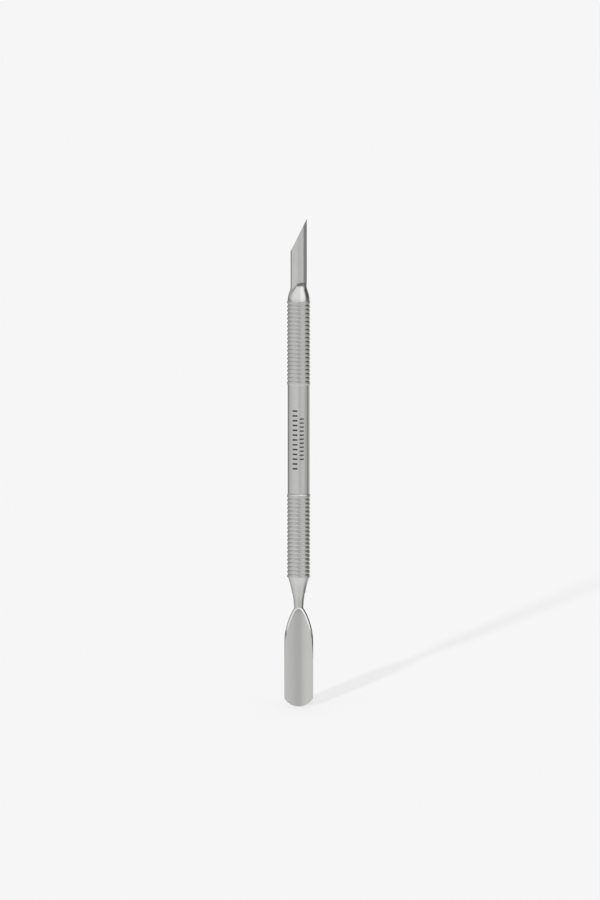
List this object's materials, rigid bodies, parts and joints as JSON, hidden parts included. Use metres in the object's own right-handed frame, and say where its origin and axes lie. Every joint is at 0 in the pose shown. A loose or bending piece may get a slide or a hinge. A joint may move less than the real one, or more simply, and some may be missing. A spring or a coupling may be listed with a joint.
{
  "type": "cuticle pusher",
  "caption": "Slim double-ended steel cuticle pusher with a spoon-shaped pusher, a slanted blade and a handle with ribbed grips.",
  "frame": {"origin": "middle of the handle's smooth barrel, on its axis", "axes": "+Z along the tool towards the slanted blade, -Y the front that the spoon's hollow faces, +X to the right seen from the front"},
  "size_m": [0.008, 0.0064, 0.1363],
  "materials": {
    "barrel_steel": "fine brushed",
    "grip_steel": "satin",
    "ferrule_steel": "polished",
    "blade_steel": "polished"
  },
  "bodies": {
    "root": {"handle_tube": "barrel_steel", "upper_grip": "grip_steel", "lower_grip": "grip_steel", "upper_ferrule": "ferrule_steel", "lower_ferrule": "ferrule_steel", "slant_blade": "blade_steel", "pusher_blade": "blade_steel"}
  },
  "joints": []
}
